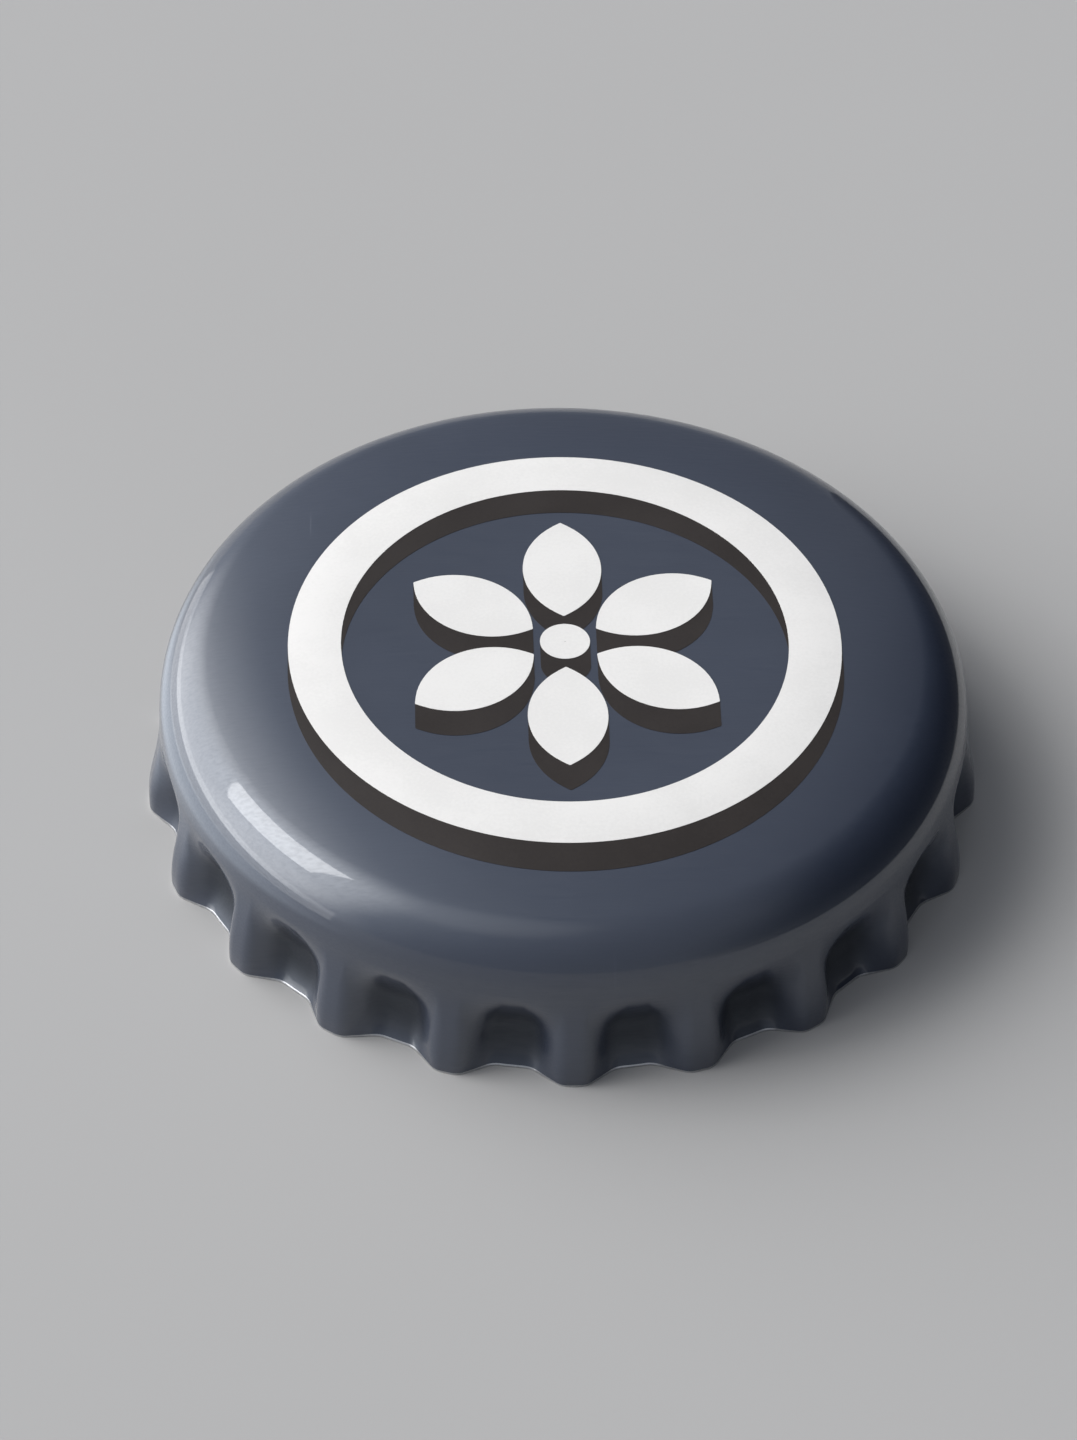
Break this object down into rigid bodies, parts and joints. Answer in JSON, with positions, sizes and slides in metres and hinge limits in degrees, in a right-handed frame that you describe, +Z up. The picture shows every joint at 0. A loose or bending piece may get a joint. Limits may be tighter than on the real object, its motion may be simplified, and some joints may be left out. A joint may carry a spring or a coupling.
{
  "type": "bottle cap",
  "caption": "Crimped crown closure: a domed painted steel shell with a fluted skirt and a moulded sealing liner under its panel.",
  "frame": {"origin": "centre of the rim plane, on the axis of the cap", "axes": "+Z up through the panel, one flute crest faces -Y, +X to the right when seen from the front"},
  "size_m": [0.0286, 0.0285, 0.0066],
  "materials": {
    "lacquered_steel": "satin slate blue lacquer over tinplate, with a printed motif on the panel",
    "liner_compound": "smooth moulded off-white sealing compound"
  },
  "bodies": {
    "root": {"cap_shell": "lacquered_steel", "sealing_liner": "liner_compound"}
  },
  "joints": []
}
